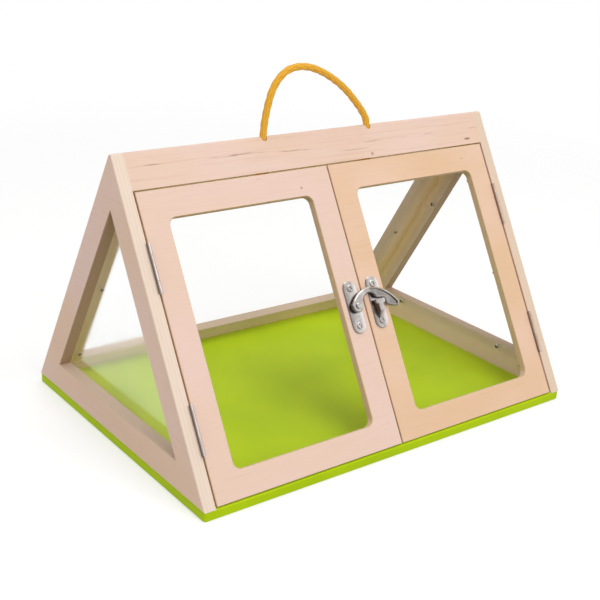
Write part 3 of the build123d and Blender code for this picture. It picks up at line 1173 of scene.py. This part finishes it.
@dataclass
class WoodenHouse:
    """The painted base, the end frames, the ridge beam and the back frame."""

    # A deeper painted shade on the window edges of the end frames and the back frame, some of it on the
    # upward-facing edges too
    reveal_shade: str = "A8835A"
    reveal_shade_upper_share: float = 0.45
    beam_marks: tuple[Mark, ...] = (
        Mark(50.6, 240.8, 3.4, 3.2, 0.45),
        Mark(164.5, 242.6, 7.6, 2.0, 0.75),
        Mark(-86.0, 254.6, 9.0, 1.3, 0.30),
        Mark(34.0, 246.4, 30.0, 1.1, 0.25),
    )

    @property
    def boards(self) -> dict[str, tuple[BoardLie, str, str]]:
        """How each plywood board lies, and the hues of its edges, which are deeper on the right end.

        Returns:
            For each board its lie, and its pale and its darker hue.
        """
        return {
            "left_end_frame": (BoardLie.END, "F3DECB", "E0C6AB"),
            "right_end_frame": (BoardLie.END, "EAD1BA", "D8BB9C"),
            "back_frame": (BoardLie.BACK, "F3DECB", "E0C6AB"),
        }

    def dress(self) -> None:
        """Gives each board its own finish."""
        LimePaint("satin_lime_paint").dress("base_board")
        for node, (lie, pale, tan) in self.boards.items():
            plywood = BirchPlywood(
                f"birch_plywood_{node}",
                lie,
                middle=board_middle(node),
                edge_pale=pale,
                edge_tan=tan,
                reveal_shade=self.reveal_shade,
                reveal_shade_upper_share=self.reveal_shade_upper_share,
            )
            plywood.dress(node)
        RidgeWood("planed_ridge_wood", BoardLie.FRONT, marks=self.beam_marks).dress("ridge_beam")


@dataclass
class Doors:
    """The two door frames and the leaves of their hinges."""

    edge_pale: str = "E6C7A6"
    edge_tan: str = "CFA67C"
    marks: tuple[Mark, ...] = (
        Mark(-31.5, 221.0, 2.2, 2.6, 0.45),
        Mark(150.8, 225.3, 3.0, 1.4, 0.35),
        Mark(-70.0, 233.0, 5.0, 1.0, 0.2),
        # The last mark is a painted shadow on the right door, under the slot in the catch plate
        Mark(11.95, 111.5, 6.5, 16.0, 0.9),
    )

    @property
    def tints(self) -> dict[Side, tuple[str, str]]:
        """The two hues of each door's veneer, which is rosier on the left one."""
        return {Side.LEFT: ("F0D0C1", "EFCFBA"), Side.RIGHT: ("EBC49F", "F0CBB0")}

    def dress(self) -> None:
        """Gives the frames their plywood and the hinges their steel."""
        for side, (rosy, straw) in self.tints.items():
            node = f"{side.word}_door_frame"
            plywood = BirchPlywood(
                f"birch_plywood_{node}",
                BoardLie.FRONT,
                rosy=rosy,
                straw=straw,
                marks=self.marks,
                middle=board_middle(node),
                edge_pale=self.edge_pale,
                edge_tan=self.edge_tan,
            )
            plywood.dress(node)
        steels = {
            Side.LEFT: RolledSteel("rolled_hinge_steel"),
            # The right hinges get a browner painted highlight and painted shade
            Side.RIGHT: RolledSteel("hinge_steel_brown_light_and_shade", painted_highlight="D2BBA8", dull="A0836E"),
        }
        for side, steel in steels.items():
            for level in ("upper", "lower"):
                hinge = f"{side.word}_{level}_hinge"
                steel.dress(f"{hinge}_frame_leaf", f"{hinge}_door_leaf")


@dataclass
class Panes:
    """The clear sheets behind the windows, and the small screws in their laps."""

    lap_middle: float = 3.5 * MM
    end_leg_inset: float = 19.2 * MM
    end_screw_height: float = 140.0 * MM
    end_rail_height: float = 28.4 * MM
    end_rail_reach: float = 67.0 * MM
    door_depth: float = 8.6 * MM
    back_depth: float = 10.1 * MM
    column_shares: tuple[float, ...] = (0.08, 0.5, 0.92)
    screw: CrossHeadScrew = CrossHeadScrew(1.9 * MM, 0.8 * MM, segments=20)

    def build(self) -> None:
        """Dresses the panes and drives their screws."""
        acrylic = ClearAcrylic("clear_cast_acrylic")
        # The left end pane mirrors the white surround as a whole sheet does. The others are kept clear, so
        # that the surround doesn't wash out what lies behind them
        mirroring = ClearAcrylic(
            "mirroring_cast_acrylic", haze="FFFFFF", smudge="FBFDFD", body=1.0, glass=1.0
        )
        mirroring.dress("left_end_pane")
        acrylic.dress("right_end_pane")
        for side in Side:
            acrylic.dress(f"{side.word}_door_pane")
            self.screw.piece(f"{side.word}_end_pane_screws", self.end_places(side), "house")
            door = f"{side.word}_door"
            places = self.column_places(f"{door}_pane", FRONT_SLOPE, self.door_depth)
            self.screw.piece(f"{door}_pane_screws", places, door)
        acrylic.dress("back_pane")
        places = self.column_places("back_pane", BACK_SLOPE, self.back_depth)
        self.screw.piece("back_pane_screws", places, "house")

    def end_places(self, side: Side) -> list[Matrix]:
        """Places the screws of an end pane.

        Args:
            side: The end of the house.

        Returns:
            Frames on the pane's inner face, two on the legs and two on the rail.
        """
        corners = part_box(f"{side.word}_end_pane")
        inner = corners[1][0] if side is Side.LEFT else corners[0][0]
        rise = (self.end_screw_height - FRONT_SLOPE.foot.z) / FRONT_SLOPE.up.z
        leg = abs((FRONT_SLOPE.foot + FRONT_SLOPE.up * rise).y) - self.end_leg_inset / FRONT_SLOPE.up.z
        turn = Matrix.Rotation(-side.value * math.pi / 2, 4, "Y")
        spots = [(y, self.end_screw_height) for y in (-leg, leg)]
        spots += [(y, self.end_rail_height) for y in (-self.end_rail_reach, self.end_rail_reach)]
        return [Matrix.Translation((inner, y, z)) @ turn for y, z in spots]

    def column_places(self, node: str, slope: Slope, depth: float) -> list[Matrix]:
        """Places two columns of screws on a sloping pane.

        Args:
            node: The pane.
            slope: The side of the house that it lies in.
            depth: How far its inner face lies behind the slope's face.

        Returns:
            Frames on the pane's inner face.
        """
        low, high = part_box(node)
        rises = [(z - slope.foot.z + depth * slope.out.z) / slope.up.z for z in (low[2], high[2])]
        columns = [slope.along.x * x for x in (low[0] + self.lap_middle, high[0] - self.lap_middle)]
        return [
            slope.matrix(slope.place(column, rises[0] + share * (rises[1] - rises[0]), -depth), inward=True)
            for column in columns
            for share in self.column_shares
        ]


@dataclass
class SwingLatch:
    """The latch plate with its arm, the catch plate, and the two screws in each plate."""

    rise: float = 117.6 * MM
    screw_pitch: float = 31.2 * MM
    plate_offset: float = 11.95 * MM
    plate_thickness: float = 1.2 * MM
    screw: CrossHeadScrew = CrossHeadScrew(3.1 * MM, 0.9 * MM)
    slot_turn: float = 0.5
    # Painted light and shade across each plate, as a slight crown would give
    plate_painted_crown: float = 0.4
    # Painted shade where the arm lies close to the door
    arm_hollow_shade_depth: float = 0.45

    def build(self) -> None:
        """Dresses the latch and drives its screws."""
        NickelPlate("nickel_plated_pressing", crown=self.plate_painted_crown).dress("latch_plate", "catch_plate")
        NickelPlate("nickel_plated_casting", hollow_shade_depth=self.arm_hollow_shade_depth).dress("latch_arm")
        for side, plate in ((Side.LEFT, "latch_plate"), (Side.RIGHT, "catch_plate")):
            places = []
            for end in (-1, 1):
                rise = self.rise + end * self.screw_pitch / 2
                spot = FRONT_SLOPE.place(side.value * self.plate_offset, rise, self.plate_thickness)
                turn = Matrix.Rotation(self.slot_turn * end * side.value, 4, "Z")
                places.append(FRONT_SLOPE.matrix(spot) @ turn)
            self.screw.piece(f"{plate}_screws", places, f"{side.word}_door")


def write_sizes() -> None:
    """Logs a line; it writes no sizes."""
    LOG.info("wrote the sizes")


def main() -> None:
    """Builds the studio and dresses the greenhouse, the camera and the rope first."""
    logging.basicConfig(level=logging.INFO, format="%(name)s: %(message)s")
    studio = Studio()
    studio.place_camera()
    RopeHandle().build()
    WoodenHouse().dress()
    Doors().dress()
    Panes().build()
    SwingLatch().build()
    studio.lay_floor()
    studio.light()
    write_sizes()


if __name__ == "__main__":
    main()
